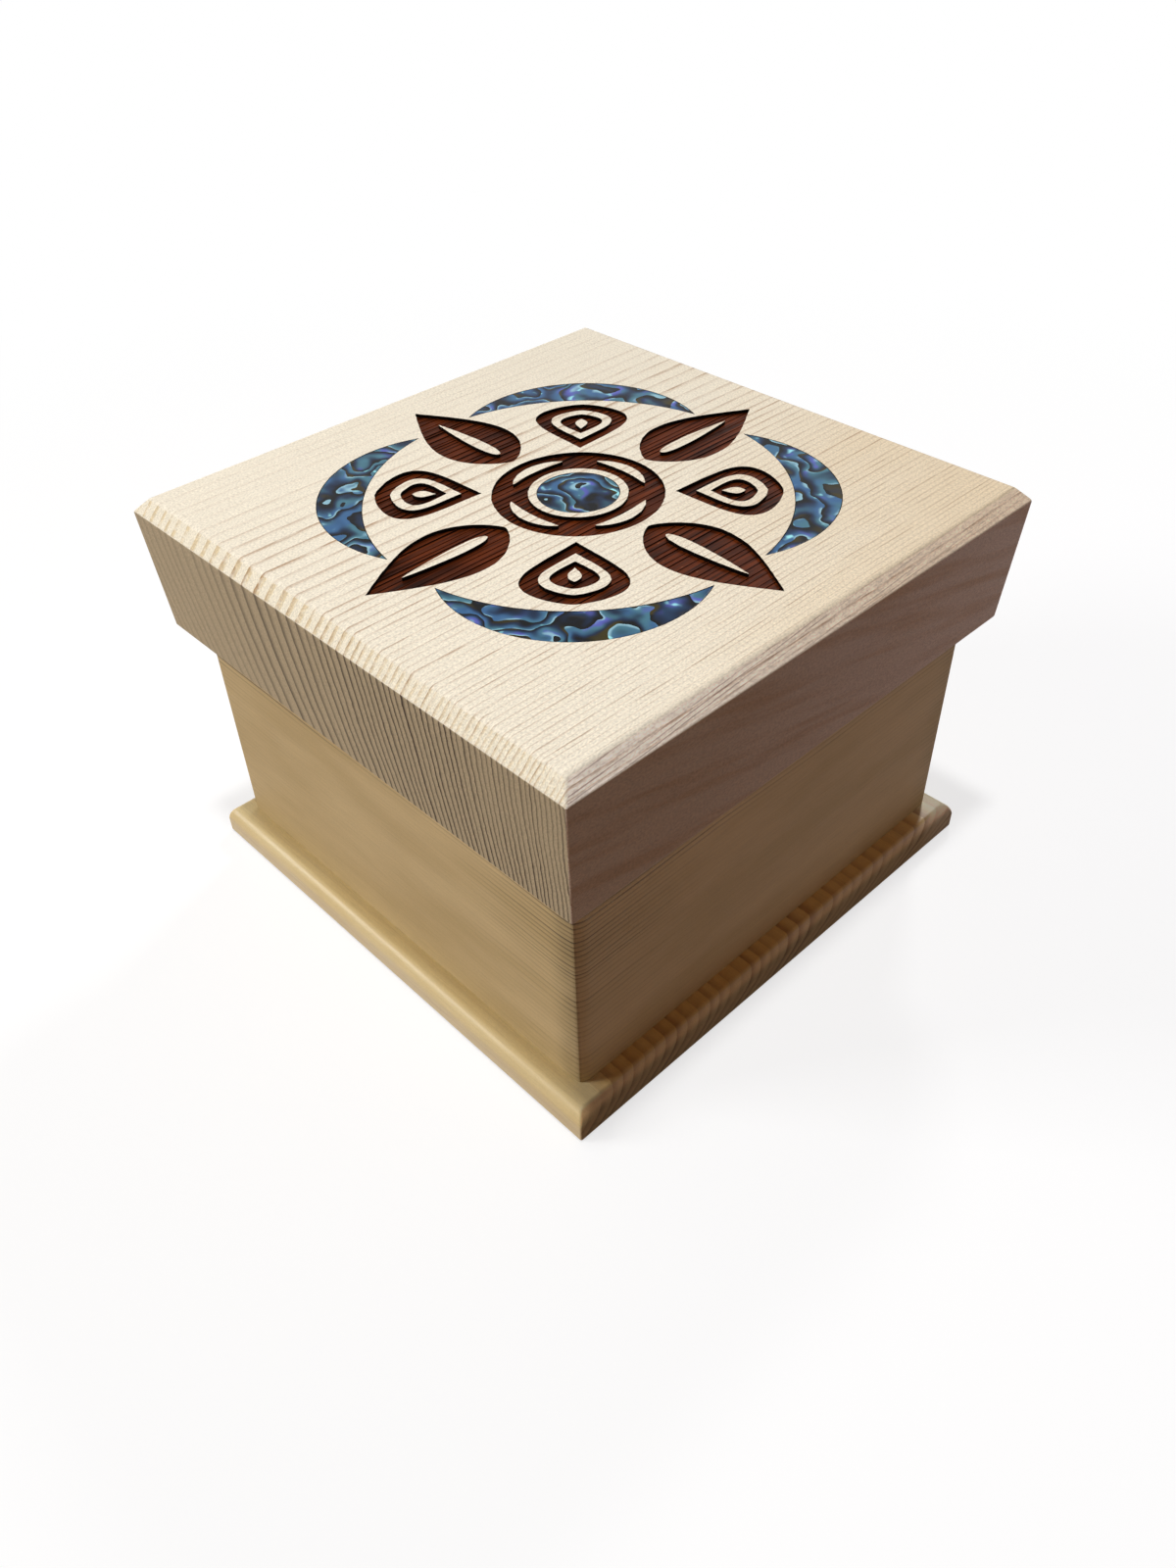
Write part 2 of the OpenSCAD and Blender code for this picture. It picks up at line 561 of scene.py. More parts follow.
@dataclass(frozen=True)
class Rings:
    """Growth rings about a heart line, in millimetres and the piece's own coordinates.

    Each knot is a distance from the heart and the rings' pitch there, which changes evenly between knots.
    """

    heart: tuple[float, float, float]
    knots: tuple[Point, ...]
    line: float
    drift: float
    drift_pitch: Point = (26.0, 120.0)
    ripple: float = 0.16
    ripple_pitch: float = 2.8
    ripple_length: float = 22.0
    faint: float = 1.0
    fade: Point = (0.0, 1.0)
    least: float = 0.45
    shoulder: float = 0.3
    shoulder_start: float = 0.25
    pace: float = 0.6
    pace_rings: float = 4.0

    def late(self, graph: Graph, grain: Grain, place: Socket) -> Number:
        """Late wood, from 0 in early wood to 1 on a ring's dark line.

        Args:
            graph: The material.
            grain: Which way the heart line runs.
            place: Place on the piece, in millimetres.

        Returns:
            The late wood's share.
        """
        across = tuple(1.0 - part for part in grain.value)
        distance = graph.length(graph.vector("MULTIPLY", graph.vector("SUBTRACT", place, self.heart), across))
        waver = graph.noise(grain.pitch(*self.drift_pitch), 2.0, place)
        ripple = graph.noise(grain.pitch(self.ripple_pitch, self.ripple_length), 3.0, place)
        distance = distance + waver.span(-self.drift, self.drift) + ripple.span(-self.ripple, self.ripple)
        count = self.count(distance)
        pace = graph.cloud(self.pace_rings, 2.0, graph.point(X=count))
        count = count + pace.span(-self.pace, self.pace)
        phase = count.math("FRACT")
        weight = graph.number("TexWhiteNoise", {"W": count.math("FLOOR")}, "Value", noise_dimensions="1D")
        rise = phase.step(1.0 - self.line, 0.94)
        fall = phase.step(1.0, 0.95)
        shoulder = phase.step(self.shoulder_start, 1.0) * self.shoulder
        profile = rise.larger(shoulder) * fall * weight.span(self.least, 1.0)
        return profile * distance.step(*self.fade).span(1.0, self.faint)

    def count(self, distance: Number) -> Number:
        """How many rings lie between the heart and a distance from it.

        Args:
            distance: How far the surface lies from the heart.

        Returns:
            The number of rings, counted from a fixed one.
        """
        first, last = self.knots[0], self.knots[-1]
        before = (distance - first[0]).smaller(0.0)
        beyond = (distance - last[0]).larger(0.0)
        total = before / first[1] + beyond / last[1]
        for (low, low_pitch), (high, high_pitch) in zip(self.knots, self.knots[1:]):
            slope = (high_pitch - low_pitch) / (high - low)
            pitch = distance.larger(low).smaller(high) * slope + (low_pitch - slope * low)
            total = total + pitch.math("LOGARITHM", math.e) / slope
        return total


@dataclass(frozen=True, kw_only=True)
class CedarFinish:
    """Sanded cedar: growth rings, and fibres along the grain."""

    name: str
    grain: Grain
    rings: Rings
    pale: Colour
    warm: Colour
    late: Colour
    line_strength: float
    fibre_strength: float
    speck_strength: float
    roughness: float
    fibre_pitch: Point = (0.22, 9.0)
    speck_pitch: Point = (0.3, 0.6)
    warmth_pitch: Point = (14.0, 60.0)
    gloss: float = 0.15
    relief: float = 0.06 * MM

    def place(self, graph: Graph) -> Socket:
        """Where the surface lies in the board, in millimetres."""
        return graph.object_place()

    def strength(self, graph: Graph) -> Amount:
        """How strongly growth lines show on long grain."""
        return self.line_strength

    def lines(self, graph: Graph, rings: Number) -> Number:
        """How strongly growth lines show, from 0 to 1."""
        return rings * self.strength(graph)

    def line_colour(self, graph: Graph) -> object:
        """The colour of a growth line."""
        return self.late

    def rough(self, graph: Graph, fibre: Number) -> Number:
        """How rough the surface is, a little more along each fibre."""
        return fibre.span(self.roughness - 0.06, self.roughness + 0.1)

    def warmth(self, graph: Graph) -> Number:
        """Where the wood turns from its pale tone to its warm one, from 0 to 1."""
        return graph.noise(self.grain.pitch(*self.warmth_pitch), 3.0).step(0.3, 0.7)

    def body(self, graph: Graph) -> Socket:
        """The colour of the wood between growth lines."""
        return graph.mix(self.warmth(graph), self.pale, self.warm)

    def marked(self, graph: Graph, rings: Number, colour: Socket) -> Socket:
        """Change the finished colour where a board has marks of its own."""
        return colour

    def material(self) -> bpy.types.Material:
        """Build the finish.

        Returns:
            The material.
        """
        graph = Graph(bpy.data.materials.new(self.name))
        graph.place = self.place(graph)
        rings = self.rings.late(graph, self.grain, graph.place)
        lines = self.lines(graph, rings)
        fibre = graph.noise(self.grain.pitch(*self.fibre_pitch), 3.0)
        speck = graph.noise(self.grain.pitch(*self.speck_pitch))
        colour = graph.mix(lines, self.body(graph), self.line_colour(graph))
        streaks = fibre.step(0.25, 0.75).span(1.0 - self.fibre_strength, 1.0 + self.fibre_strength)
        specks = speck.step(0.25, 0.75).span(1.0 - self.speck_strength, 1.0 + self.speck_strength)
        colour = self.marked(graph, rings, graph.shade(colour, streaks * specks))
        graph.feed(Base_Color=colour, Roughness=self.rough(graph, fibre), Specular_IOR_Level=self.gloss)
        graph.bump(fibre * 0.5 + lines * 0.15 + speck * 0.4, self.relief)
        return graph.owner


@dataclass(frozen=True, kw_only=True)
class BoardCedar(CedarFinish):
    """The cedar of a board whose ends show: darker end grain, with lines of its own."""

    end_pale: Colour
    end_late: Colour
    end_strength: float
    end_edge: Point = (0.9, 0.97)
    thinning: float = 1.0

    def end_grain(self, graph: Graph) -> Number:
        """Where the surface cuts across the fibres, from 0 to 1."""
        return graph.facing(self.grain.value).step(*self.end_edge)

    def end_lines(self, graph: Graph) -> Amount:
        """How strongly growth lines show on end grain."""
        return self.end_strength

    def lines(self, graph: Graph, rings: Number) -> Number:
        """How strongly growth lines show, from 0 to 1; those on long grain are thinner.

        Args:
            graph: The material.
            rings: The late wood's share.

        Returns:
            The strength.
        """
        end = self.end_grain(graph)
        strength = graph.blend(end, self.strength(graph), self.end_lines(graph))
        return rings ** end.span(self.thinning, 1.0) * strength

    def line_colour(self, graph: Graph) -> Socket:
        """The colour of a growth line."""
        return graph.mix(self.end_grain(graph), self.late, self.end_late)

    def body(self, graph: Graph) -> Socket:
        """The colour of the wood between growth lines."""
        return graph.mix(self.end_grain(graph), super().body(graph), self.end_pale)


@dataclass(frozen=True, kw_only=True)
class LidCedar(BoardCedar):
    """The lid's wood: rings that lean as they go down, soft bands over painted shade and light on its right
    side, and torn chamfers under painted light.
    """

    # painted shade on the sides that look along X, darkest at the front, and a painted bluish reflected light
    # towards the back
    painted_side_shade: Colour
    painted_side_light: Colour
    side_band: Colour = (0.82, 0.7, 0.58, 1.0)
    side_slope: tuple[float, float, float] = (0.0, 0.26, 1.0)
    tear_slope: tuple[float, float, float] = (0.0, -0.05, 1.4)
    break_pitch: Point = (0.9, 8.0)
    fleck_pitch: Point = (0.3, 2.2)
    # painted light: a tint above 1 that brightens the chamfers that slope along X
    chamfer_painted_light: Colour = (1.22, 1.2, 1.26, 1.0)
    torn: Colour = (0.45, 0.34, 0.34, 1.0)
    creamy: Colour = (1.0, 1.0, 0.97, 1.0)
    band: Colour = (0.87, 0.79, 0.64, 1.0)
    top: float = 100.5
    thickness: float = 33.5
    lean: float = 6.0
    left_boost: float = 4.0
    warm_way: tuple[float, float, float] = (1.0, 0.8, 0.0)
    tears: Rings = Rings(
        heart=(64.0, 0.0, 0.0), knots=((60.0, 0.85), (90.0, 0.95)), line=0.42, drift=1.6,
        ripple=0.2, ripple_pitch=1.2, least=0.05, shoulder=0.0,
    )

    def place(self, graph: Graph) -> Socket:
        """Where the surface lies in the board: rings lean to the right as they go down, most at the left.

        Args:
            graph: The material.

        Returns:
            The place, in millimetres.
        """
        place = graph.object_place()
        depth = ((self.top - graph.part("Z", place)) / self.thickness).larger(0.0) ** 1.7
        lean = graph.part("X", place).step(80.0, -20.0).span(0.0, self.lean) * depth
        return graph.vector("SUBTRACT", place, graph.point(X=lean))

    def side(self, graph: Graph) -> Number:
        """Where the surface is a side that looks along X, from 0 to 1."""
        return graph.facing((1, 0, 0)).step(0.93, 0.985)

    def strength(self, graph: Graph) -> Number:
        """Lines are broken on the top, and quiet on the sides that look along X.

        Args:
            graph: The material.

        Returns:
            The lines' strength on long grain.
        """
        broken = graph.noise(self.grain.pitch(*self.break_pitch)).step(0.36, 0.62)
        shown = broken.span(self.line_strength * 0.35, self.line_strength)
        leftward = graph.part("X").step(-12.0, -54.0)
        return shown * leftward.span(1.0, self.left_boost) * self.side(graph).span(1.0, 0.12)

    def end_lines(self, graph: Graph) -> Number:
        """Lines on end grain stand out most to the right of the middle.

        Args:
            graph: The material.

        Returns:
            The lines' strength on end grain.
        """
        across = graph.part("X")
        low = graph.part("Z").step(88.0, 70.0)
        strongest = across.step(0.0, 26.0) * across.step(50.0, 38.0).larger(low)
        return strongest.span(self.end_strength * 0.88, self.end_strength * 1.3)

    def warmth(self, graph: Graph) -> Number:
        """The warm tone grows towards the right corner, in long clouds."""
        clouds = graph.noise(self.grain.pitch(*self.warmth_pitch)).span(-30.0, 30.0)
        return (graph.along(self.warm_way) + clouds).step(10.0, 120.0)

    def chamfer(self, graph: Graph, axis: Sequence[float]) -> Number:
        """Where the surface is a chamfer that slopes along an axis, from 0 to 1."""
        towards = graph.facing(axis)
        return towards.step(0.5, 0.66) * towards.step(0.9, 0.76)

    def banded_side(self, graph: Graph, colour: Socket) -> Socket:
        """Tone the board from front to back, and mark the sides that look along X with slanting bands, over
        painted shade that is darkest at the front and a painted bluish light towards the back.

        Args:
            graph: The material.
            colour: The wood's colour.

        Returns:
            The marked colour.
        """
        back = graph.part("Y")
        slant = graph.point(X=graph.along(self.side_slope), Y=back)
        soft = graph.noise((5.5, 62.0, 1.0), 3.0, slant).step(0.44, 0.66)
        # painted shade and light: the sides that look along X run from a dark tint at the front to a pale
        # bluish one at the back
        tint = graph.mix(back.step(-60.0, 85.0), self.painted_side_shade, self.painted_side_light)
        toned = graph.shade(colour, back.step(-70.0, 70.0).span(1.03, 0.92))
        return graph.mix(self.side(graph), toned, graph.dye(colour, graph.tint(soft, tint, self.side_band)))

    def torn_chamfer(self, graph: Graph, colour: Socket) -> Socket:
        """Tear the grain in short dark lines on the chamfers that slope along X, over painted light that
        brightens them, with painted highlight flecks and more light towards the back.

        Args:
            graph: The material.
            colour: The wood's colour.

        Returns:
            The marked colour.
        """
        back = graph.part("Y")
        slope = graph.point(X=graph.along(self.tear_slope), Y=back)
        # painted light on the chamfers, with painted highlight flecks, growing towards the back
        highlight_fleck = graph.noise(self.grain.pitch(*self.fleck_pitch)).step(0.4, 0.66)
        lit = graph.shade(self.chamfer_painted_light, highlight_fleck.span(0.9, 1.12) + back.step(-20.0, 70.0).span(0.0, 0.12))
        broken = graph.noise((1.1, 26.0, 1.0), 2.0, slope).step(0.36, 0.56)
        share = self.tears.late(graph, self.grain, slope) * (broken * back.step(60.0, 0.0).span(0.55, 1.0))
        return graph.tint(self.chamfer(graph, (1, 0, 0)), colour, graph.mix(share, lit, self.torn))

    def banded_chamfer(self, graph: Graph, rings: Number, colour: Socket) -> Socket:
        """Draw patchy growth bands over the chamfers that slope along Y.

        Args:
            graph: The material.
            rings: The late wood's share.
            colour: The wood's colour.

        Returns:
            The marked colour.
        """
        chamfer = self.chamfer(graph, (0, 1, 0))
        rightward = graph.part("X").step(-20.0, 40.0).span(1.0, 0.6)
        patchy = graph.noise((2.4, 2.4, 1.4), 2.0).step(0.26, 0.56) * rightward
        colour = graph.tint(chamfer, colour, self.creamy)
        return graph.tint(rings.step(0.02, 0.2) * (patchy * chamfer), colour, self.band)

    def marked(self, graph: Graph, rings: Number, colour: Socket) -> Socket:
        """Mark the sides that look along X, and both kinds of chamfer."""
        colour = self.torn_chamfer(graph, self.banded_side(graph, colour))
        return self.banded_chamfer(graph, rings, colour)


@dataclass(frozen=True, kw_only=True)
class BaseCedar(BoardCedar):
    """The base's wood: polished, with quiet lines along its front edge, painted warm bounce light on its
    ledges and painted bluish light on its right corner.
    """

    # painted warm bounce light from the walls, tinting the ledges at the grain's ends orange-brown
    ledge: Colour = (1.04, 0.81, 0.5, 1.0)
    bevel: Colour = (1.12, 0.97, 0.9, 1.0)
    # painted light: a pale bluish tint on the right corner
    corner_painted_light: Colour = (1.42, 1.62, 2.05, 1.0)
    sawn: float = 0.85
    panel: float = 55.0

    def rough(self, graph: Graph, fibre: Number) -> Number:
        """The board is polished, but the sawn ends of its grain and the panel inside are left rough.

        Args:
            graph: The material.
            fibre: The fibres' noise.

        Returns:
            The roughness.
        """
        sides = graph.vector("ABSOLUTE", graph.place)
        inside = graph.part("X", sides).larger(graph.part("Y", sides)).step(self.panel + 1, self.panel)
        return graph.blend(self.end_grain(graph).larger(inside), super().rough(graph, fibre), self.sawn)

    def strength(self, graph: Graph) -> Number:
        """Lines are quiet along the front edge."""
        return graph.part("Y").step(-57.0, -63.0).span(self.line_strength, self.line_strength * 0.22)

    def marked(self, graph: Graph, rings: Number, colour: Socket) -> Socket:
        """The ledges outside the walls at the grain's ends take a browner, orange painted bounce light, the
        bevels that slope along X are tinted, and the right corner takes a pale bluish painted light.

        Args:
            graph: The material.
            rings: The late wood's share.
            colour: The wood's colour.

        Returns:
            The marked colour.
        """
        sides = graph.vector("ABSOLUTE", graph.place)
        upward = graph.facing((0, 0, 1))
        ledge = graph.part("X", sides).step(61.0, 63.5) * graph.part("Y", sides).step(64.0, 54.0)
        bevel = graph.facing((1, 0, 0)).step(0.4, 0.6) * upward.step(0.3, 0.6)
        corner = graph.part("X").step(54.0, 66.0) * graph.part("Y").step(52.0, 66.0)
        colour = graph.tint(bevel, colour, self.bevel)
        # painted warm bounce light on the ledges
        colour = graph.tint(ledge * upward.step(0.8, 0.95), colour, self.ledge)
        # painted bluish light on the right corner
        return graph.tint(corner, colour, self.corner_painted_light)


@dataclass(frozen=True, kw_only=True)
class PlankCedar(CedarFinish):
    """The plank's wood, read as it lay flat: lines stand out at the bends, where the wood is darkened by
    crushing and by painted shade.

    The fibres run on round every wall, so no end grain shows.
    """

    bend_pitch: float = 124.9

    def place(self, graph: Graph) -> Socket:
        """Where the surface lay in the flat plank, in millimetres."""
        return graph.named_place("laid_flat")

    def frontness(self, graph: Graph) -> Number:
        """1 about the front bend, which took the bend worst, and 0 about the others."""
        return abs(graph.part("X")).step(76.0, 56.0)

    def past_bend(self, graph: Graph) -> Number:
        """How far along the plank the surface lies past the nearest bend; before it is negative."""
        half = self.bend_pitch / 2
        return (graph.part("X") + half).math("FLOORED_MODULO", self.bend_pitch) - half

    def strength(self, graph: Graph) -> Number:
        """Growth lines stand out at the bends and under the rim, and fade between them and lower down.

        Args:
            graph: The material.

        Returns:
            The lines' strength.
        """
        past = self.past_bend(graph)
        height = graph.part("Z")
        patch = graph.noise((30.0, 8.0, 6.0), 2.0).span(-8.0, 8.0)
        nearness = (abs(past) + patch).step(38.0, 1.0) * self.frontness(graph).span(0.15, 1.0)
        after = past.step(-0.8, 0.4) * abs(past).step(60.0, 24.0)
        shown = nearness * height.step(24.0, 54.0).span(0.15, 1.0) * after.span(0.9, 1.0)
        rim = height.step(55.5, 57.5) * after.span(0.34, 1.0)
        return shown.larger(rim).span(self.line_strength * 0.05, self.line_strength)

    def marked(self, graph: Graph, rings: Number, colour: Socket) -> Socket:
        """Darken the wood in a bend by crushing, with painted shade on the wall before the bend, and a thin
        dark line at the arris, most near the rim.

        Args:
            graph: The material.
            rings: The late wood's share.
            colour: The wood's colour.

        Returns:
            The marked colour.
        """
        past = self.past_bend(graph)
        front = self.frontness(graph)
        patch = graph.noise((6.0, 6.0, 9.0), 2.0).span(0.2, 1.3)
        # crushed wood and painted shade, strongest on the wall before the bend
        crush_and_painted_shade = past.step(0.6, -0.6).span(0.08, 0.5) * patch * front.span(0.3, 1.0) * rings.span(0.6, 1.6)
        bend_crush_and_shade = 1.0 - abs(past).step(8.0, 0.2) * crush_and_painted_shade
        near_rim = graph.part("Z").step(54.0, 65.0).span(0.3, 0.8) * front.span(0.2, 1.0)
        crease = abs(past).step(0.7, 0.15) * near_rim * rings.span(0.45, 1.0)
        return graph.shade(colour, bend_crush_and_shade * crease.span(1.0, 0.3))


@dataclass(frozen=True)
class StainFinish:
    """The stained floor of the carving: red-brown, streaked dark along the grain, with painted glints, and
    black up its walls, partly charred and partly painted shade.
    """

    name: str
    deep: Colour
    brown: Colour
    char_and_shade: Colour
    painted_glint: Colour
    gloss: float = 0.04
    relief: float = 0.12 * MM

    def material(self) -> bpy.types.Material:
        """Build the finish.

        Returns:
            The material.
        """
        graph = new_finish(self.name)
        streak = graph.noise((1.0, 34.0, 5.0), 3.0)
        blotch = graph.noise((9.0, 14.0, 9.0), 2.0)
        fine = graph.noise((0.25, 1.6, 0.25), 2.0)
        colour = graph.mix((streak * 0.65 + blotch * 0.35).step(0.34, 0.64), self.deep, self.brown)
        # painted glints: small pale dots stand in for highlights on the ridge tops
        painted_sparkle = fine.step(0.66, 0.74) * streak.step(0.5, 0.6)
        colour = graph.mix(painted_sparkle * 0.5, colour, self.painted_glint)
        # charred walls, partly painted shade inside the recess
        colour = graph.mix(graph.facing((0, 0, 1)).step(0.55, 0.2), colour, self.char_and_shade)
        graph.feed(Base_Color=colour, Roughness=fine.span(0.3, 0.55), Specular_IOR_Level=self.gloss)
        graph.bump(fine * 0.5 + streak * 0.5, self.relief)
        return graph.owner


@dataclass(frozen=True)
class ShellFinish:
    """Polished abalone: soft folds from near black to steel blue, with pale rims and bright painted glints of
    reflected light.
    """

    name: str
    dark: Colour
    olive: Colour
    deep: Colour
    blue: Colour
    teal: Colour
    violet: Colour
    rim: Colour
    painted_flash: Colour
    swirl: float = 9.0
    folds: float = 7.0
    roughness: float = 0.18
    gloss: float = 0.08

    def material(self) -> bpy.types.Material:
        """Build the finish.

        Returns:
            The material.
        """
        graph = new_finish(self.name)
        sizes = (self.swirl,) * 3
        push = graph.node("TexNoise", {"Vector": graph.vector("DIVIDE", graph.place, sizes), "Scale": 1.0})
        swirl = graph.vector("SUBTRACT", push.outputs["Color"], (0.5, 0.5, 0.5))
        folded = graph.vector("ADD", graph.place, graph.vector("MULTIPLY", swirl, sizes))
        fold = (graph.cloud(12.0, 0.6, folded) * self.folds).math("FRACT")
        hollow = graph.mix(graph.cloud(7.0, place=folded).step(0.48, 0.62), self.dark, self.olive)
        crest = graph.mix(graph.cloud(8.0).step(0.4, 0.6), self.blue, self.teal)
        crest = graph.mix(graph.cloud(6.0, place=folded).step(0.56, 0.68), crest, self.violet)
        colour = graph.mix(fold.step(0.12, 0.36), hollow, self.deep)
        colour = graph.mix(fold.step(0.28, 0.82), colour, crest)
        colour = graph.mix(fold.step(0.78, 0.97) * graph.cloud(4.6).step(0.46, 0.6), colour, self.rim)
        # painted glints of reflected light on the shell
        colour = graph.mix(graph.cloud(3.4).step(0.66, 0.74) * fold.step(0.4, 0.75), colour, self.painted_flash)
        graph.feed(Base_Color=colour, Roughness=self.roughness, Specular_IOR_Level=self.gloss)
        return graph.owner


@dataclass(frozen=True)
class PegFinish:
    """Whittled pegs, or the glue in a pocket: one brown, darker in places."""

    name: str
    pale: Colour
    dark: Colour
    roughness: float = 0.6
    relief: float = 0.05 * MM

    def material(self) -> bpy.types.Material:
        """Build the finish.

        Returns:
            The material.
        """
        graph = new_finish(self.name)
        patch = graph.cloud(0.5, 3.0)
        graph.feed(Base_Color=graph.mix(patch.step(0.3, 0.7), self.pale, self.dark), Roughness=self.roughness)
        graph.bump(patch, self.relief)
        return graph.owner


LID_CEDAR = LidCedar(
    name="lid_cedar", grain=Grain.ALONG_Y,
    rings=Rings(
        heart=(1118.0, 0.0, 98.0),
        knots=((1048.0, 1.1), (1088.0, 1.8), (1113.0, 2.25), (1125.0, 3.3), (1146.0, 4.6), (1184.0, 2.7)),
        line=0.55, drift=1.2, ripple=0.28, ripple_pitch=1.8, faint=0.32, fade=(1130.0, 1172.0),
        least=0.65, shoulder=0.22,
    ),
    pale=srgb(241, 232, 212), warm=srgb(231, 212, 180), late=srgb(170, 134, 100),
    end_pale=srgb(194, 178, 144), end_late=srgb(58, 38, 18),
    # painted shade at the front of the sides that look along X, and painted bluish light at their back
    painted_side_shade=(0.63, 0.53, 0.44, 1.0), painted_side_light=(0.95, 0.96, 1.1, 1.0), warmth_pitch=(12.0, 90.0),
    line_strength=0.92, end_strength=1.0, fibre_strength=0.05, speck_strength=0.17, roughness=0.56,
    thinning=2.4,
)
PLANK_CEDAR = PlankCedar(
    name="plank_cedar", grain=Grain.ALONG_X,
    rings=Rings(
        heart=(0.0, 60.0, -40.0), knots=((70.0, 1.05), (130.0, 1.25)), line=0.5, drift=2.4,
        ripple=0.2, least=0.3,
    ),
    pale=srgb(222, 199, 148), warm=srgb(204, 180, 128), late=srgb(60, 38, 20),
    line_strength=1.0, fibre_strength=0.06, speck_strength=0.04, roughness=0.52,
)
BASE_CEDAR = BaseCedar(
    name="base_cedar", grain=Grain.ALONG_X,
    rings=Rings(
        heart=(0.0, 150.0, -190.0), knots=((180.0, 2.0), (320.0, 2.6)), line=0.75, drift=1.4,
        least=0.25,
    ),
    pale=srgb(238, 219, 168), warm=srgb(230, 206, 148), late=srgb(150, 100, 56),
    end_pale=srgb(178, 155, 111), end_late=srgb(102, 76, 50), end_edge=(0.72, 0.99),
    line_strength=0.6, end_strength=0.75, fibre_strength=0.05, speck_strength=0.04, roughness=0.28,
    gloss=0.22,
)
PEG_WOOD = PegFinish("peg_wood", srgb(150, 112, 74), srgb(102, 70, 42))
CARVING_STAIN = StainFinish(
    "carving_stain", deep=srgb(36, 13, 4), brown=srgb(100, 43, 13), char_and_shade=srgb(12, 6, 4),
    painted_glint=srgb(170, 120, 90),
)
ABALONE = ShellFinish(
    "abalone", dark=srgb(14, 16, 18), olive=srgb(62, 54, 18), deep=srgb(26, 42, 68), blue=srgb(62, 104, 148),
    teal=srgb(74, 122, 140), violet=srgb(92, 100, 186), rim=srgb(150, 196, 212), painted_flash=srgb(160, 236, 244),
)
POCKET_GLUE = PegFinish("pocket_glue", srgb(46, 38, 30), srgb(28, 24, 20))


# Sub-assemblies


@dataclass(frozen=True)
class Leaf:
    """A leaf along a spoke of the carving, in millimetres from the lid's middle.

    It is fullest at a share of its length; a bluntness below 1 rounds its ends, and 1 leaves them pointed.
    """

    start: float
    end: float
    half: float
    fullest: float
    blunt: float


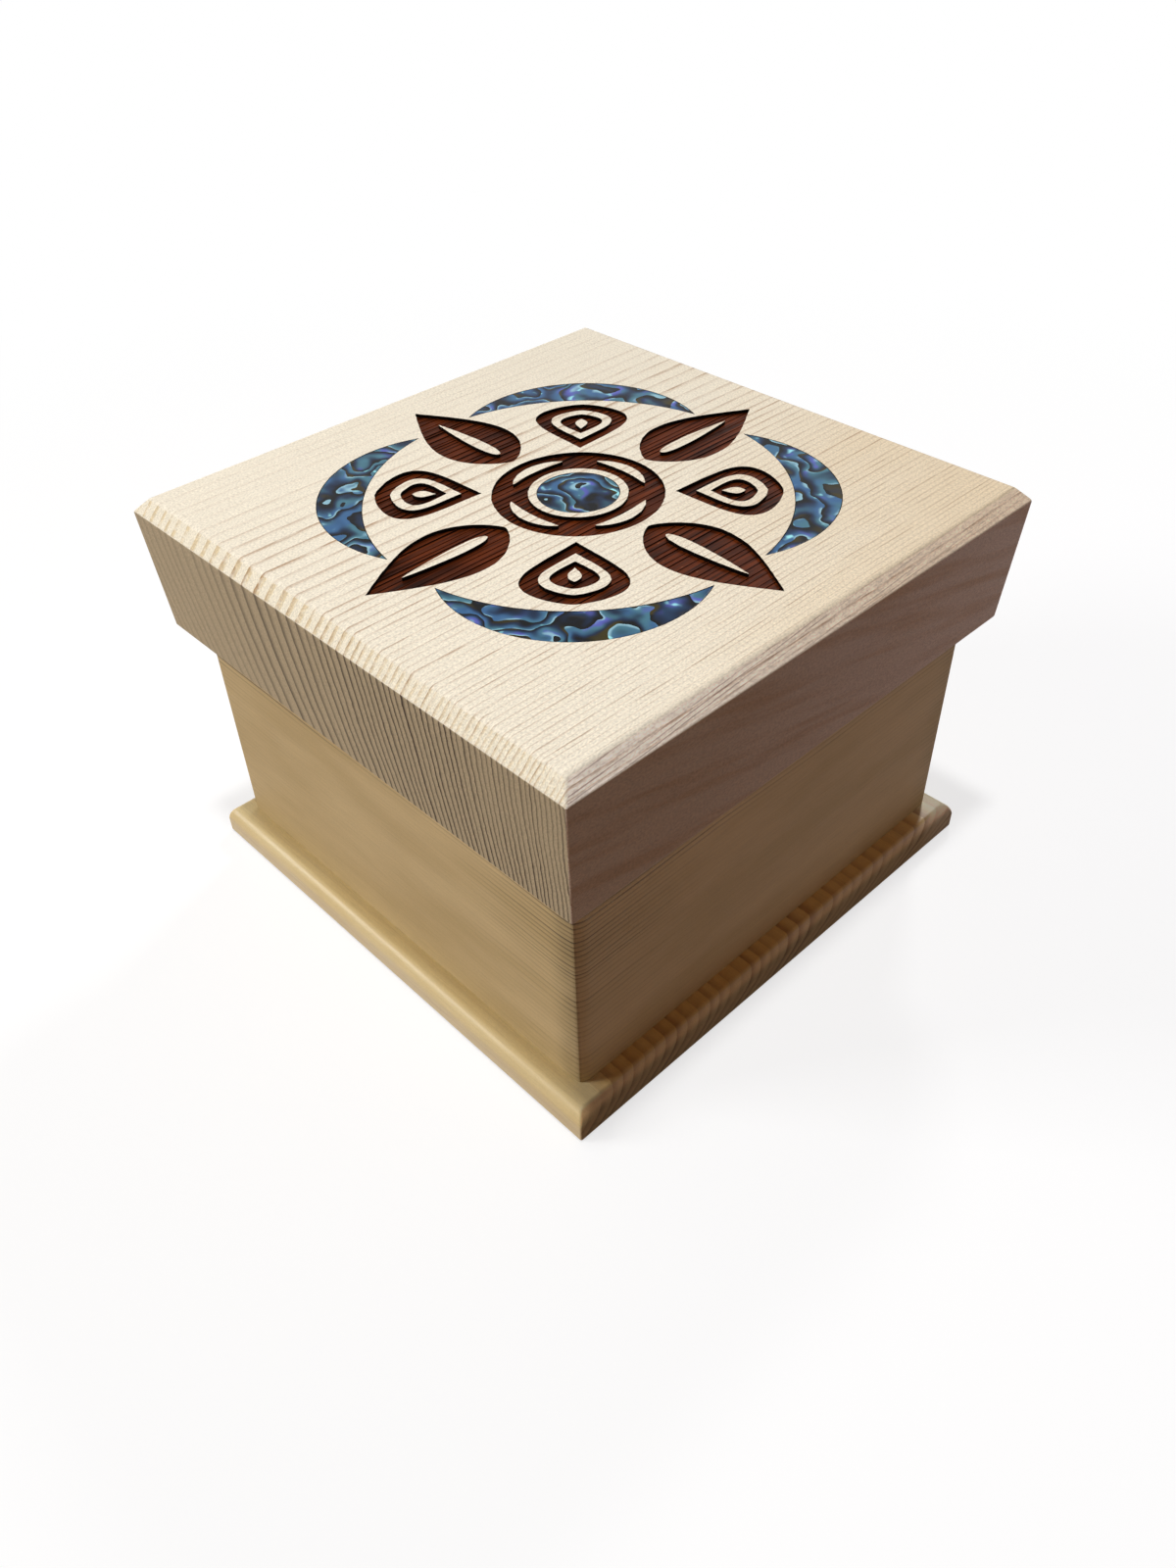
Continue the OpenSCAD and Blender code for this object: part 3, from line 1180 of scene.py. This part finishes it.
@dataclass
class Rosette:
    """The lid's carving: a ring round the middle slip of shell, four pointed leaves and four U forms.

    Lengths are in millimetres, about the lid's middle. Each leaf keeps a vein, and each U form is cut
    round a standing ring, inside which a core is cut round a slit.
    """

    depth: float = 0.9
    ring_in: float = 11.0
    ring_out: float = 19.0
    arc_half: float = 1.3
    arc_sweep: float = 30.0
    leaf: Leaf = Leaf(21.2, 57.5, 9.6, 0.38, 1.0)
    vein: Leaf = Leaf(26.2, 48.5, 1.5, 0.3, 0.8)
    cup: Leaf = Leaf(21.2, 44.6, 11.0, 0.66, 0.62)
    cup_ring: Leaf = Leaf(25.7, 41.2, 7.2, 0.64, 0.66)
    cup_core: Leaf = Leaf(28.8, 39.0, 5.0, 0.62, 0.7)
    cup_slit: Leaf = Leaf(31.2, 36.4, 1.4, 0.6, 0.8)
    ridge_reach: float = 59.5
    ridge_pitch: float = 1.7
    ridge_half: float = 0.2
    ridge_root: float = 0.4
    ridge_height: float = 0.22
    ridge_crest: float = 0.35
    ridge_drop: Point = (-0.12, 0.04)
    ridge_spread: Point = (0.6, 1.4)
    waver: float = 0.1
    steps: int = 56

    def place(self, along: float, across: float, turn: float) -> Point:
        """Set a point of a spoke on the lid, wavering a little where it crosses the grain.

        Args:
            along: Its distance along the spoke.
            across: Its distance to the left of the spoke.
            turn: The spoke's angle, in radians.

        Returns:
            The point, in metres.
        """
        x = along * math.cos(turn) - across * math.sin(turn)
        y = along * math.sin(turn) + across * math.cos(turn)
        shift = noise.noise(Vector((x * 1.3, y * 0.2, 0.0))) * self.waver
        return ((x + shift) * MM, (y + shift) * MM)

    def outline(self, leaf: Leaf, turn: float) -> Outline:
        """Draw a leaf along a spoke.

        Args:
            leaf: The leaf.
            turn: The spoke's angle, in radians.

        Returns:
            Points round the leaf, in metres.
        """
        power = math.log(0.5) / math.log(leaf.fullest)
        shares = [(1 - math.cos(math.pi * i / self.steps)) / 2 for i in range(self.steps + 1)]
        along = [leaf.start + (leaf.end - leaf.start) * share for share in shares]
        swell = [leaf.half * max(math.sin(math.pi * share**power), 0.0) ** leaf.blunt for share in shares]
        side = list(zip(along, swell))
        there = [self.place(x, y, turn) for x, y in side]
        back = [self.place(x, -y, turn) for x, y in reversed(side[1:-1])]
        return there + back

    def circle(self, radius: float) -> Outline:
        """Draw a circle about the lid's middle."""
        count = 4 * self.steps
        return [self.place(radius, 0.0, 2 * math.pi * i / count) for i in range(count)]

    def arc(self, turn: float) -> Outline:
        """Draw a slim crescent bent along the middle of the ring, centred on a spoke.

        Args:
            turn: The spoke's angle, in radians.

        Returns:
            Points round the crescent, in metres.
        """
        radius = (self.ring_in + self.ring_out) / 2
        sweep = math.radians(self.arc_sweep)
        shares = [2 * i / self.steps - 1 for i in range(self.steps + 1)]
        swell = [self.arc_half * math.cos(math.pi / 2 * s) ** 0.7 for s in shares]
        outer = [self.place(radius + w, 0.0, turn + sweep * s) for s, w in zip(shares, swell)]
        inner = [self.place(radius - w, 0.0, turn + sweep * s) for s, w in zip(shares, swell)]
        return outer + inner[-2:0:-1]

    def prisms(self, name: str, outlines: Sequence[Outline], low: float, high: float) -> Piece:
        """Raise several outlines into one object."""
        return join(name, [add_prism(name, outline, low, high) for outline in outlines])

    def cutter(self, top: float, finish: bpy.types.Material) -> Piece:
        """Model the shape that the carving takes out of the lid.

        Args:
            top: Height of the lid's top, in metres.
            finish: The stain that the carved faces take.

        Returns:
            The cutter.
        """
        low, high = top - self.depth * MM, top + MM
        axes = [math.radians(90 * i) for i in range(4)]
        diagonals = [turn + math.radians(45) for turn in axes]
        cut_away = [self.circle(self.ring_out)]
        cut_away += [self.outline(self.leaf, turn) for turn in axes]
        cut_away += [self.outline(self.cup, turn) for turn in diagonals]
        kept = [self.circle(self.ring_in)]
        for turn in axes:
            kept += [self.outline(self.vein, turn), self.arc(turn)]
        kept += [self.outline(self.cup_ring, turn) for turn in diagonals]
        cores = [self.outline(self.cup_core, turn) for turn in diagonals]
        slits = [self.outline(self.cup_slit, turn) for turn in diagonals]
        carving = self.prisms("carving", cut_away, low, high)
        cut(carving, self.prisms("carving_kept", kept, low - MM, high + MM))
        core = self.prisms("carving_core", cores, low, high)
        cut(core, self.prisms("carving_slits", slits, low - MM, high + MM))
        carving = join("carving", [carving, core])
        cut(carving, self.ridges(low))
        dress(carving, finish)
        return carving

    def ridges(self, floor: float) -> Piece:
        """Model the hard growth lines that stay proud on the carved floor, along the grain.

        Args:
            floor: Height of the carved floor, in metres.

        Returns:
            The ridges, as one object.
        """
        draw = random.Random(11)
        half, reach = self.ridge_half * MM, self.ridge_reach * MM
        root, crest = floor - self.ridge_root * MM, floor + self.ridge_height * MM
        master = add_block("ridge", (-half, -reach, root), (half, reach, crest))
        with editing(master, Kind.FACE):
            pick_top(master)
            bpy.ops.transform.resize(value=(self.ridge_crest, 1, 1))
        rows = []
        x = -self.ridge_reach
        while x < self.ridge_reach:
            row = master.copy()
            row.data = master.data.copy()
            row.data.transform(Matrix.Translation((x * MM, 0, draw.uniform(*self.ridge_drop) * MM)))
            bpy.context.collection.objects.link(row)
            rows.append(row)
            x += self.ridge_pitch * draw.uniform(*self.ridge_spread)
        bpy.data.objects.remove(master)
        return join("ridges", rows)


@dataclass
class Lid:
    """The lid: a thick slab with leaning sides, a chamfer round its top and a plug under it."""

    chamfer_in: float = 3.2 * MM
    chamfer_drop: float = 3.2 * MM
    draft: float = 1.7 * MM
    plug_half: float = 52.9 * MM
    lead_in: float = 1.0 * MM
    shell_t: float = 1.2 * MM
    shell_gap: float = 0.15 * MM
    disc_r: float = 9.0 * MM
    ring_r: float = 47.0 * MM
    bulge_r: float = 29.0 * MM
    crescent_reach: float = 57.0 * MM
    disc_flats: int = 96
    bulge_flats: int = 160
    ring_flats: int = 192
    slip_ease: float = 0.12 * MM
    top_ease: float = 0.7 * MM
    brow_ease: float = 0.3 * MM
    mitre_ease: float = 0.5 * MM
    corner_ease: float = 0.35 * MM
    rim_ease: float = 0.5 * MM

    def __post_init__(self) -> None:
        """Read the lid's place from the frame."""
        low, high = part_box("lid")
        self.half = high.x
        self.top = high.z
        self.plug_z = low.z
        self.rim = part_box("side_plank")[1].z

    def slab(self) -> Piece:
        """Model the bare slab with its chamfer and plug, edges eased.

        Returns:
            The slab.
        """
        foot = self.half - self.draft
        brow = self.top - self.chamfer_drop
        slab = add_block("lid_slab", (-foot, -foot, self.rim), (foot, foot, brow))
        with editing(slab, Kind.FACE):
            pick_top(slab)
            widen_picked(foot, self.half)
            raise_picked(self.chamfer_drop)
            widen_picked(self.half, self.half - self.chamfer_in)
            pick(slab, Kind.FACE, lambda middle, normal: normal.z < -0.9)
            bpy.ops.mesh.inset(thickness=foot - self.plug_half)
            raise_picked(self.plug_z - self.rim)
        widths = (
            (self.top_ease, level(self.top)),
            (self.brow_ease, level(brow)),
            (self.mitre_ease, upright(brow, self.top)),
            (self.corner_ease, upright(self.rim, brow)),
            (self.rim_ease, level(self.rim, (foot + self.plug_half) / 2)),
            (self.lead_in, lambda middle, along: middle.z < self.rim - NEAR),
        )
        ease_edges(slab, widths, segments=4)
        return slab

    def disc(self, name: str, gap: float, low: float, high: float) -> Piece:
        """Model the round slip of shell, or with a gap round it the cutter of its pocket."""
        return add_rod(name, self.disc_r + gap, (0, 0, low), (0, 0, high), self.disc_flats)

    def crescent(self, name: str, turn: float, gap: float, low: float, high: float) -> Piece:
        """Model a crescent of shell, or with a gap round it the cutter of its pocket.

        Args:
            name: The new object's name.
            turn: The corner's angle, in radians.
            gap: Room to add round it.
            low: Height of its underside.
            high: Height of its top.

        Returns:
            The crescent.
        """
        out = Vector((math.cos(turn), math.sin(turn))) * (self.crescent_reach - self.bulge_r)
        full = add_rod(name, self.bulge_r + gap, (*out, low), (*out, high), self.bulge_flats)
        inner = self.ring_r - gap
        cut(full, add_rod(name + "_hollow", inner, (0, 0, low - MM), (0, 0, high + MM), self.ring_flats))
        return full

    def inlay(self, slab: Piece, pocket: Piece, slip: Piece, node: str) -> None:
        """Cut a pocket into the slab, and ease and dress the slip of shell that fills it.

        Args:
            slab: The lid's slab.
            pocket: The cutter of the pocket.
            slip: The slip of shell.
            node: The slip's CAD node.
        """
        dress(pocket, self.glue)
        cut(slab, pocket)
        ease_edges(slip, ((self.slip_ease, level(self.top)),), segments=2)
        dress(slip, self.shell)
        smooth(slip)
        set_in_frame(slip, node, "lid")

    def build(self) -> None:
        """Model, carve, inlay and dress the lid."""
        slab = self.slab()
        dress(slab, LID_CEDAR.material())
        cut(slab, Rosette().cutter(self.top, CARVING_STAIN.material()))
        self.glue = POCKET_GLUE.material()
        self.shell = ABALONE.material()
        floor, above = self.top - self.shell_t, self.top + MM
        pocket = self.disc("pocket", self.shell_gap, floor, above)
        slip = self.disc("shell_slip_disc", 0.0, floor, self.top)
        self.inlay(slab, pocket, slip, "shell_disc")
        for corner, degrees in {"right": 45, "back": 135, "left": 225, "front": 315}.items():
            turn = math.radians(degrees)
            pocket = self.crescent("pocket", turn, self.shell_gap, floor, above)
            slip = self.crescent("shell_slip_" + corner, turn, 0.0, floor, self.top)
            self.inlay(slab, pocket, slip, "shell_crescent_" + corner)
        smooth(slab)
        set_in_frame(slab, "lid", "lid")


@dataclass
class BentPlank:
    """The walls: one plank, kerfed and bent round three corners, lapped and pegged at the fourth.

    A bend turns gently out of one wall, sharply over an arris and gently into the next wall: each turn is
    a radius and the heading, in degrees, at which it ends.
    """

    thickness: float = 9.5 * MM
    bend: tuple[Point, ...] = ((30.0 * MM, 8.0), (4.0 * MM, 20.0), (0.4 * MM, 55.0), (5.0 * MM, 90.0))
    crisp: tuple[Point, ...] = ((0.6 * MM, 90.0),)
    lap: tuple[Point, ...] = ((2.0 * MM, 90.0),)
    lap_t: float = 4.8 * MM
    lap_gap: float = 0.2 * MM
    kerf_slit: float = 0.4 * MM
    kerf_depth: float = 8.9 * MM
    kerf_root: float = 0.8 * MM
    kerf_flats: int = 24
    kerf_corners: tuple[float, ...] = (-45.0, 45.0, 225.0)
    rim_ease: float = 0.4 * MM
    foot_ease: float = 0.25 * MM

    def __post_init__(self) -> None:
        """Read the walls' place from the frame, and draw the line round their outer face."""
        low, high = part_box("side_plank")
        self.half = high.x
        self.low, self.high = low.z, high.z
        self.inside = self.half - self.thickness
        self.trace: Outline = []
        self.reach: list[float] = []
        self.draw_trace()

    def turn(self, turns: Sequence[Point]) -> Outline:
        """Trace a bend that heads along +X and turns to +Y.

        Args:
            turns: Radius and closing heading of each part of the bend.

        Returns:
            Points from (0, 0) to the end of the bend.
        """
        points = [(0.0, 0.0)]
        heading = 0.0
        for radius, stop in turns:
            count = max(4, round((stop - heading) / 4))
            step = math.radians(stop - heading) / count
            for i in range(count):
                middle = math.radians(heading) + step * (i + 0.5)
                x, y = points[-1]
                points.append((x + radius * step * math.cos(middle), y + radius * step * math.sin(middle)))
            heading = stop
        return points

    def draw_trace(self) -> None:
        """Draw the walls' outer line, from the lapped corner round by the left, front and right bends."""
        corners = ((self.crisp, 180.0), (self.bend, 270.0), (self.crisp, 0.0), (self.lap, 90.0))
        for turns, side in corners:
            points = self.turn(turns)
            end_x = points[-1][0]
            angle = math.radians(side + 90.0)
            for x, y in points:
                along, out = self.half - end_x + x, -self.half + y
                self.trace.append((
                    along * math.cos(angle) - out * math.sin(angle),
                    along * math.sin(angle) + out * math.cos(angle),
                ))
        for i, point in enumerate(self.trace):
            self.reach.append(self.reach[-1] + math.dist(self.trace[i - 1], point) if i else 0.0)

    def build(self) -> None:
        """Model and dress the walls."""
        walls = add_prism("bent_plank", self.trace, self.low, self.high)
        inside = self.inside
        hollow = add_block("hollow", (-inside, -inside, self.low - MM), (inside, inside, self.high + MM))
        cut(walls, hollow)
        ease_edges(walls, ((self.rim_ease, level(self.high)), (self.foot_ease, level(self.low))), segments=2)
        pegs = Pegs()
        cutters = [self.kerf(math.radians(degrees)) for degrees in self.kerf_corners]
        cutters += self.lap_lines()
        cutters += [pegs.holes(pegs.base_axes()), pegs.holes(pegs.corner_axes())]
        for cutter in cutters:
            cut(walls, cutter)
        self.lay_flat(walls)
        dress(walls, PLANK_CEDAR.material())
        smooth(walls)
        set_in_frame(walls, "side_plank", "box")

    def kerf(self, turn: float) -> Piece:
        """Model the closed kerf inside one bent corner, with the relief at its root.

        Args:
            turn: The corner's angle, in radians.

        Returns:
            The cutter of the kerf.
        """
        start = self.inside * math.sqrt(2)
        low, high = self.low - MM, self.high + MM
        half = self.kerf_slit / 2
        root_x = start + self.kerf_depth - self.kerf_root
        slit = add_block("kerf", (start - MM, -half, low), (root_x, half, high))
        root = add_rod("kerf_root", self.kerf_root, (root_x, 0, low), (root_x, 0, high), self.kerf_flats)
        apply_modifier(slit, "BOOLEAN", object=root, operation="UNION", solver="EXACT")
        bpy.data.objects.remove(root)
        slit.data.transform(Matrix.Rotation(turn, 4, "Z"))
        return slit

    def lap_lines(self) -> list[Piece]:
        """Model the two hairlines where the plank's ends lap, at the back corner.

        Returns:
            The cutters of the hairlines.
        """
        low, high = self.low - MM, self.high + MM
        edge, inside, gap = self.half - self.lap_t, self.inside, self.lap_gap
        face = add_block("lap_face", (-self.half - MM, edge - gap, low), (-inside, edge, high))
        butt = add_block("lap_butt", (-inside - gap, inside - MM, low), (-inside, edge, high))
        return [face, butt]

    def lay_flat(self, walls: Piece) -> None:
        """Write each point's place on the plank before it was bent: along it from the front bend, in and up.

        Args:
            walls: The finished walls.
        """
        places = walls.data.attributes.new("laid_flat", "FLOAT_VECTOR", "POINT")
        arris = self.trace.index(max(self.trace, key=lambda point: point[0] - point[1]))
        for index, vertex in enumerate(walls.data.vertices):
            along, into = self.unbend(vertex.co.x, vertex.co.y)
            places.data[index].vector = ((along - self.reach[arris]) / MM, into / MM, vertex.co.z / MM)

    def unbend(self, x: float, y: float) -> Point:
        """Lay a point of the walls flat.

        Args:
            x: Its place across the box.
            y: Its place along the box.

        Returns:
            How far along the plank it lies, and how deep below the outer face.
        """
        nearest = (0.0, math.inf)
        point = Vector((x, y))
        for i, end in enumerate(self.trace):
            start = Vector(self.trace[i - 1])
            span = Vector(end) - start
            share = min(max((point - start).dot(span) / span.length_squared, 0.0), 1.0)
            gap = (start + span * share - point).length
            if gap < nearest[1]:
                begin = self.reach[i - 1] if i else self.reach[0] - span.length
                nearest = (begin + share * span.length, gap)
        return nearest


@dataclass
class BaseBoard:
    """The base: a board wider than the walls, bevelled round its top, with a panel raised inside them."""

    bevel_in: float = 2.0 * MM
    bevel_drop: float = 2.0 * MM
    panel_half: float = 53.1 * MM
    lead_in: float = 1.0 * MM
    ledge_ease: float = 0.7 * MM
    shoulder_ease: float = 1.4 * MM
    foot_ease: float = 0.7 * MM
    corner_ease: float = 0.5 * MM

    def __post_init__(self) -> None:
        """Read the board's place from the frame."""
        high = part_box("base_board")[1]
        self.half = high.x
        self.panel_z = high.z
        self.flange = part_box("side_plank")[0].z

    def build(self) -> None:
        """Model and dress the board."""
        shoulder = self.flange - self.bevel_drop
        ledge = self.half - self.bevel_in
        board = add_block("bevelled_base", (-self.half, -self.half, 0), (self.half, self.half, shoulder))
        with editing(board, Kind.FACE):
            pick_top(board)
            raise_picked(self.bevel_drop)
            widen_picked(self.half, ledge)
            bpy.ops.mesh.inset(thickness=ledge - self.panel_half)
            raise_picked(self.panel_z - self.flange)
        widths = (
            (self.lead_in, level(self.panel_z)),
            (self.ledge_ease, level(self.flange, (ledge + self.panel_half) / 2)),
            (self.shoulder_ease, level(shoulder)),
            (self.foot_ease, level(0.0)),
            (self.corner_ease, upright(0.0, self.flange)),
        )
        ease_edges(board, widths, segments=3)
        pegs = Pegs()
        cut(board, pegs.holes(pegs.base_axes()))
        dress(board, BASE_CEDAR.material())
        smooth(board)
        set_in_frame(board, "base_board", "box")


@dataclass
class Pegs:
    """The pegs: a row down the lapped corner and a ring driven up through the base."""

    radius: float = 1.5 * MM
    room: float = 0.05 * MM
    flats: int = 12
    hole_flats: int = 32
    ease: float = 0.2 * MM
    base_pitch: float = 36.0 * MM
    base_count: int = 3
    corner_count: int = 4

    def base_axes(self) -> list[Axis]:
        """Find the pegs in the base.

        Returns:
            Both ends of each peg, from the underside up.
        """
        low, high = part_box("base_pegs")
        out = high.x - self.radius
        across = [(i - (self.base_count - 1) / 2) * self.base_pitch for i in range(self.base_count)]
        axes = []
        for quarter in range(4):
            turn = Matrix.Rotation(quarter * math.pi / 2, 3, "Z")
            axes += [(turn @ Vector((out, y, low.z)), turn @ Vector((out, y, high.z))) for y in across]
        return axes

    def corner_axes(self) -> list[Axis]:
        """Find the pegs in the lapped corner.

        Returns:
            Both ends of each peg, from the back face in.
        """
        low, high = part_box("corner_pegs")
        x = (low.x + high.x) / 2
        bottom, top = low.z + self.radius, high.z - self.radius
        rise = (top - bottom) / (self.corner_count - 1)
        heights = [bottom + i * rise for i in range(self.corner_count)]
        return [(Vector((x, high.y, z)), Vector((x, low.y, z))) for z in heights]

    def holes(self, axes: Sequence[Axis]) -> Piece:
        """Model the cutter for the holes that a set of pegs is driven into.

        Args:
            axes: Both ends of each peg.

        Returns:
            The cutter, a hairline wider than the pegs and open past their first ends.
        """
        wide = self.radius + self.room
        rods = []
        for start, end in axes:
            along = (end - start).normalized()
            rods.append(add_rod("hole", wide, start - along * MM, end + along * self.room, self.hole_flats))
        return join("holes", rods)

    def build(self) -> None:
        """Model and dress both sets of pegs."""
        finish = PEG_WOOD.material()
        for node, axes in {"base_pegs": self.base_axes(), "corner_pegs": self.corner_axes()}.items():
            rods = [add_rod("peg", self.radius, start, end, self.flats) for start, end in axes]
            pegs = join("whittled_" + node, rods)
            ease_edges(pegs, ((self.ease, self.at_ends(axes)),), segments=2)
            dress(pegs, finish)
            smooth(pegs, 20)
            set_in_frame(pegs, node, "box")

    def at_ends(self, axes: Sequence[Axis]) -> Test:
        """Test for edges round the ends of a set of pegs."""
        ends = [point for axis in axes for point in axis]
        return lambda middle, along: min((middle - end).length for end in ends) < self.radius * 1.01


@dataclass(frozen=True)
class Lamp:
    """A soft square lamp that faces the box.

    Its light is what a white card facing it from the box's middle would show, where 1 is white.
    """

    name: str
    place: tuple[float, float, float]
    size: float
    light: float
    tint: tuple[float, float, float] = (1.0, 1.0, 1.0)

    def hang(self, middle: Vector) -> None:
        """Hang the lamp.

        Args:
            middle: The box's middle, in metres.
        """
        data = bpy.data.lights.new(self.name, "AREA")
        data.size = self.size
        aim = middle - Vector(self.place)
        data.energy = self.light * math.pi**2 * aim.length_squared
        data.color = self.tint
        lamp = bpy.data.objects.new(self.name, data)
        lamp.location = self.place
        lamp.rotation_euler = aim.to_track_quat("-Z", "Y").to_euler()
        bpy.context.scene.collection.objects.link(lamp)


@dataclass
class Studio:
    """The floor, the lamps and the camera.

    The camera's heading, dip below the level and roll are in degrees, and its lens and sensor in millimetres.
    """

    eye: tuple[float, float, float] = (0.17868, -0.16656, 0.23012)
    heading: float = 136.946
    dip: float = 41.276
    roll: float = -1.655
    lens: float = 28.315
    sensor: float = 36.0
    middle: tuple[float, float, float] = (0.0, 0.0, 0.06)
    floor_size: float = 6.0
    floor_drop: float = 0.2 * MM
    floor_shown: Colour = (0.34, 0.34, 0.34, 1.0)
    floor_bounce: Colour = (0.31, 0.185, 0.14, 1.0)
    floor_glow: float = 0.7
    floor_fade: Point = (160.0, 460.0)
    fill: Colour = (0.054, 0.033, 0.028, 1.0)
    lamps: tuple[Lamp, ...] = (
        Lamp("overhead", (0.06, -0.1, 1.1), 0.07, 0.545),
        Lamp("left", (-1.19, -1.43, 0.81), 0.7, 0.57),
        Lamp("back", (-0.3, 0.68, 0.74), 0.12, 0.22),
        Lamp("right", (0.22, 0.3, 0.16), 0.12, 0.05, (0.66, 0.68, 1.0)),
    )

    def camera(self) -> None:
        """Set the camera where the photograph was taken from."""
        data = bpy.data.cameras.new("camera")
        data.sensor_width = self.sensor
        data.lens = self.lens
        data.clip_start = 0.01
        camera = bpy.data.objects.new("camera", data)
        turn = Matrix.Rotation(math.radians(self.heading - 90), 4, "Z")
        tilt = Matrix.Rotation(math.radians(90 - self.dip), 4, "X")
        roll = Matrix.Rotation(math.radians(self.roll), 4, "Z")
        camera.matrix_world = Matrix.Translation(self.eye) @ turn @ tilt @ roll
        bpy.context.scene.collection.objects.link(camera)
        bpy.context.scene.camera = camera

    def seen(self, graph: Graph) -> Number:
        """Tell the rays that show the background: those of the camera, and of gloss and glass.

        Args:
            graph: The material or world.

        Returns:
            1 for such a ray, and 0 for another.
        """
        path = graph.node("LightPath", {}).outputs
        camera, gloss, glass = (path[f"Is {kind} Ray"] for kind in ("Camera", "Glossy", "Transmission"))
        return Number(graph, camera).larger(Number(graph, gloss)).larger(Number(graph, glass))

    def floor(self) -> None:
        """Lay a plain pale floor that shows white, keeps the box's shadow and fades into the backdrop."""
        bpy.ops.object.select_all(action="DESELECT")
        bpy.ops.mesh.primitive_plane_add(size=self.floor_size, location=(0, 0, -self.floor_drop))
        floor = name_active("floor")
        graph = new_finish("floor")
        seen = self.seen(graph)
        away = graph.length(graph.place).step(*self.floor_fade)
        colour = graph.mix(seen, self.floor_bounce, graph.mix(away, self.floor_shown, BLACK))
        graph.feed(Base_Color=colour, Roughness=1.0, Specular_IOR_Level=0.0)
        graph.feed(Emission_Color=WHITE, Emission_Strength=seen * away.span(self.floor_glow, 1.0))
        dress(floor, graph.owner)

    def world(self) -> None:
        """Fill the shade with a little warm light, and show white behind."""
        graph = Graph(bpy.data.worlds.new("studio"), "Background")
        graph.feed(Color=graph.mix(self.seen(graph), self.fill, WHITE))
        bpy.context.scene.world = graph.owner

    def build(self) -> None:
        """Set up the studio."""
        self.camera()
        self.floor()
        self.world()
        for lamp in self.lamps:
            lamp.hang(Vector(self.middle))
        bpy.context.scene.view_settings.view_transform = "Standard"


def main() -> None:
    """Build the box and its studio."""
    logging.basicConfig(level=logging.INFO, format="%(name)s: %(message)s")
    Studio().build()
    BaseBoard().build()
    Pegs().build()
    BentPlank().build()
    Lid().build()


if __name__ == "__main__":
    main()
